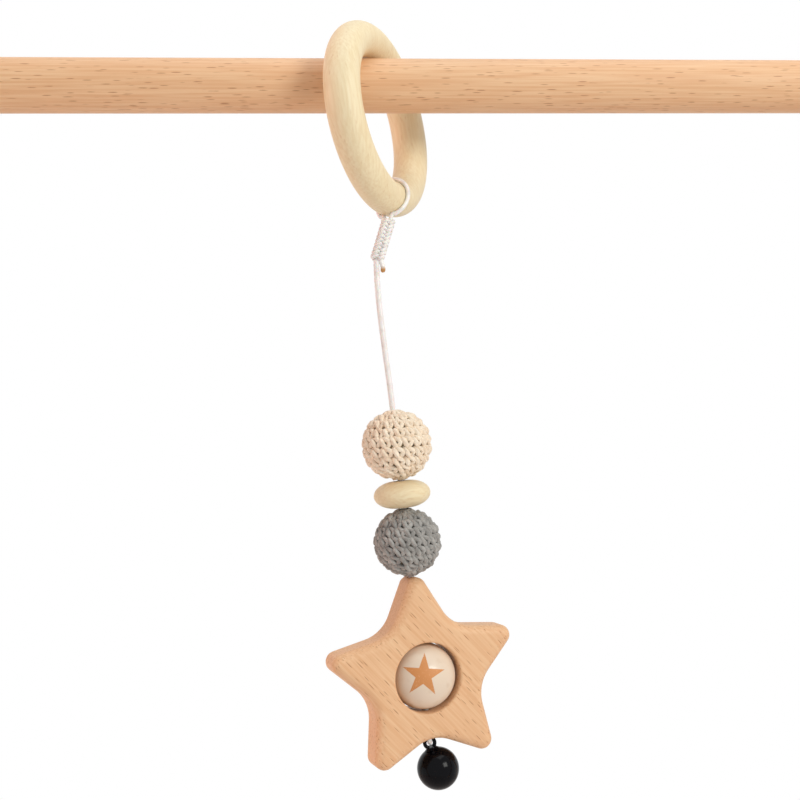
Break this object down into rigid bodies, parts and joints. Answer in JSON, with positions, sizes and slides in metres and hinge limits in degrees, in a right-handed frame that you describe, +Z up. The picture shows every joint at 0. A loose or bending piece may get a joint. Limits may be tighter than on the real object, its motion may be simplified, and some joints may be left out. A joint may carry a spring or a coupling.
{
  "type": "activity play gym",
  "caption": "Folding wooden A-frame with a round crossbar and a hanging toy: a ring, a lace, crocheted and wooden beads, a star with a captive bead, and a jingle bell.",
  "frame": {"origin": "on the floor, straight below the middle of the crossbar", "axes": "+X along the crossbar, +Z up, -Y towards the front"},
  "size_m": [0.6168, 0.4488, 0.5095],
  "materials": {
    "beech": "oiled",
    "maple": "sanded bare",
    "lace": "satin braid",
    "singed_lace": "melted",
    "cream_yarn": "crocheted cotton",
    "grey_yarn": "crocheted cotton",
    "pale_bead": "varnished, with a plain star print",
    "black_enamel": "gloss enamel",
    "steel": "zinc plated",
    "nylon": "natural",
    "rubber": "matt"
  },
  "bodies": {
    "frame": {"crossbar": "beech", "left_outer_leg": "beech", "left_outer_foot": "rubber", "left_stop_block": "beech", "left_bolt": "steel", "left_bolt_washer": "steel", "left_insert": "steel", "left_inner_spacer": "nylon", "left_outer_spacer": "nylon", "right_outer_leg": "beech", "right_outer_foot": "rubber", "right_stop_block": "beech", "right_bolt": "steel", "right_bolt_washer": "steel", "right_insert": "steel", "right_inner_spacer": "nylon", "right_outer_spacer": "nylon"},
    "left_folding_leg": {"left_inner_leg": "beech", "left_inner_foot": "rubber"},
    "right_folding_leg": {"right_inner_leg": "beech", "right_inner_foot": "rubber"},
    "hanging_ring": {"ring": "maple"},
    "hitch": {"lace_hitch": "lace"},
    "pendant": {"lace": "lace", "lace_knot": "lace", "lace_tail": "singed_lace"},
    "cream_bead": {"cream_bead_core": "maple", "cream_bead_cover": "cream_yarn"},
    "disc": {"disc_bead": "maple"},
    "grey_bead": {"grey_bead_core": "maple", "grey_bead_cover": "grey_yarn"},
    "star_piece": {"star": "beech"},
    "star_bead": {"printed_bead": "pale_bead"},
    "bell_ball": {"bell": "black_enamel"},
    "pea": {"bell_pea": "steel"}
  },
  "joints": [
    {"name": "left_leg_fold", "type": "hinge", "parent": "frame", "child": "left_folding_leg", "pos_m": [-0.2791, 0, 0.47], "axis": [1, 0, 0], "range_deg": [0, 48]},
    {"name": "right_leg_fold", "type": "hinge", "parent": "frame", "child": "right_folding_leg", "pos_m": [0.2791, 0, 0.47], "axis": [1, 0, 0], "range_deg": [0, 48]},
    {"name": "ring_slide", "type": "slide", "parent": "frame", "child": "hanging_ring", "axis": [1, 0, 0], "range_m": [-0.16, 0.16]},
    {"name": "toy_swing_side", "type": "hinge", "parent": "hanging_ring", "child": "hitch", "pos_m": [0.00335, -0.00179, 0.42944], "axis": [0.471, 0.8821, 0], "range_deg": [-40, 40]},
    {"name": "toy_swing_front", "type": "hinge", "parent": "hitch", "child": "pendant", "pos_m": [0.00211, -0.00612, 0.42017], "axis": [1, 0, 0], "range_deg": [-40, 40]},
    {"name": "cream_bead_spin", "type": "hinge", "parent": "pendant", "child": "cream_bead", "pos_m": [0.00328, -0.00612, 0.34213], "axis": [-0.0863, 0, 0.9963], "continuous": true},
    {"name": "disc_bead_spin", "type": "hinge", "parent": "pendant", "child": "disc", "pos_m": [0.00478, -0.00612, 0.3248], "axis": [-0.0863, 0, 0.9963], "continuous": true},
    {"name": "grey_bead_spin", "type": "hinge", "parent": "pendant", "child": "grey_bead", "pos_m": [0.00624, -0.00612, 0.30796], "axis": [-0.0863, 0, 0.9963], "continuous": true},
    {"name": "star_spin", "type": "hinge", "parent": "pendant", "child": "star_piece", "pos_m": [0.0103, -0.00612, 0.26114], "axis": [-0.0863, 0, 0.9963], "continuous": true},
    {"name": "printed_bead_spin", "type": "hinge", "parent": "star_piece", "child": "star_bead", "pos_m": [0.0103, -0.00612, 0.26114], "axis": [-0.0863, 0, 0.9963], "continuous": true},
    {"name": "bell_swing", "type": "hinge", "parent": "pendant", "child": "bell_ball", "pos_m": [0.01235, -0.00612, 0.23743], "axis": [0, 1, 0], "range_deg": [-15.5, 39.5]},
    {"name": "pea_roll", "type": "hinge", "parent": "bell_ball", "child": "pea", "pos_m": [0.01513, -0.00612, 0.22829], "axis": [0, 1, 0], "range_deg": [-60, 60]}
  ]
}
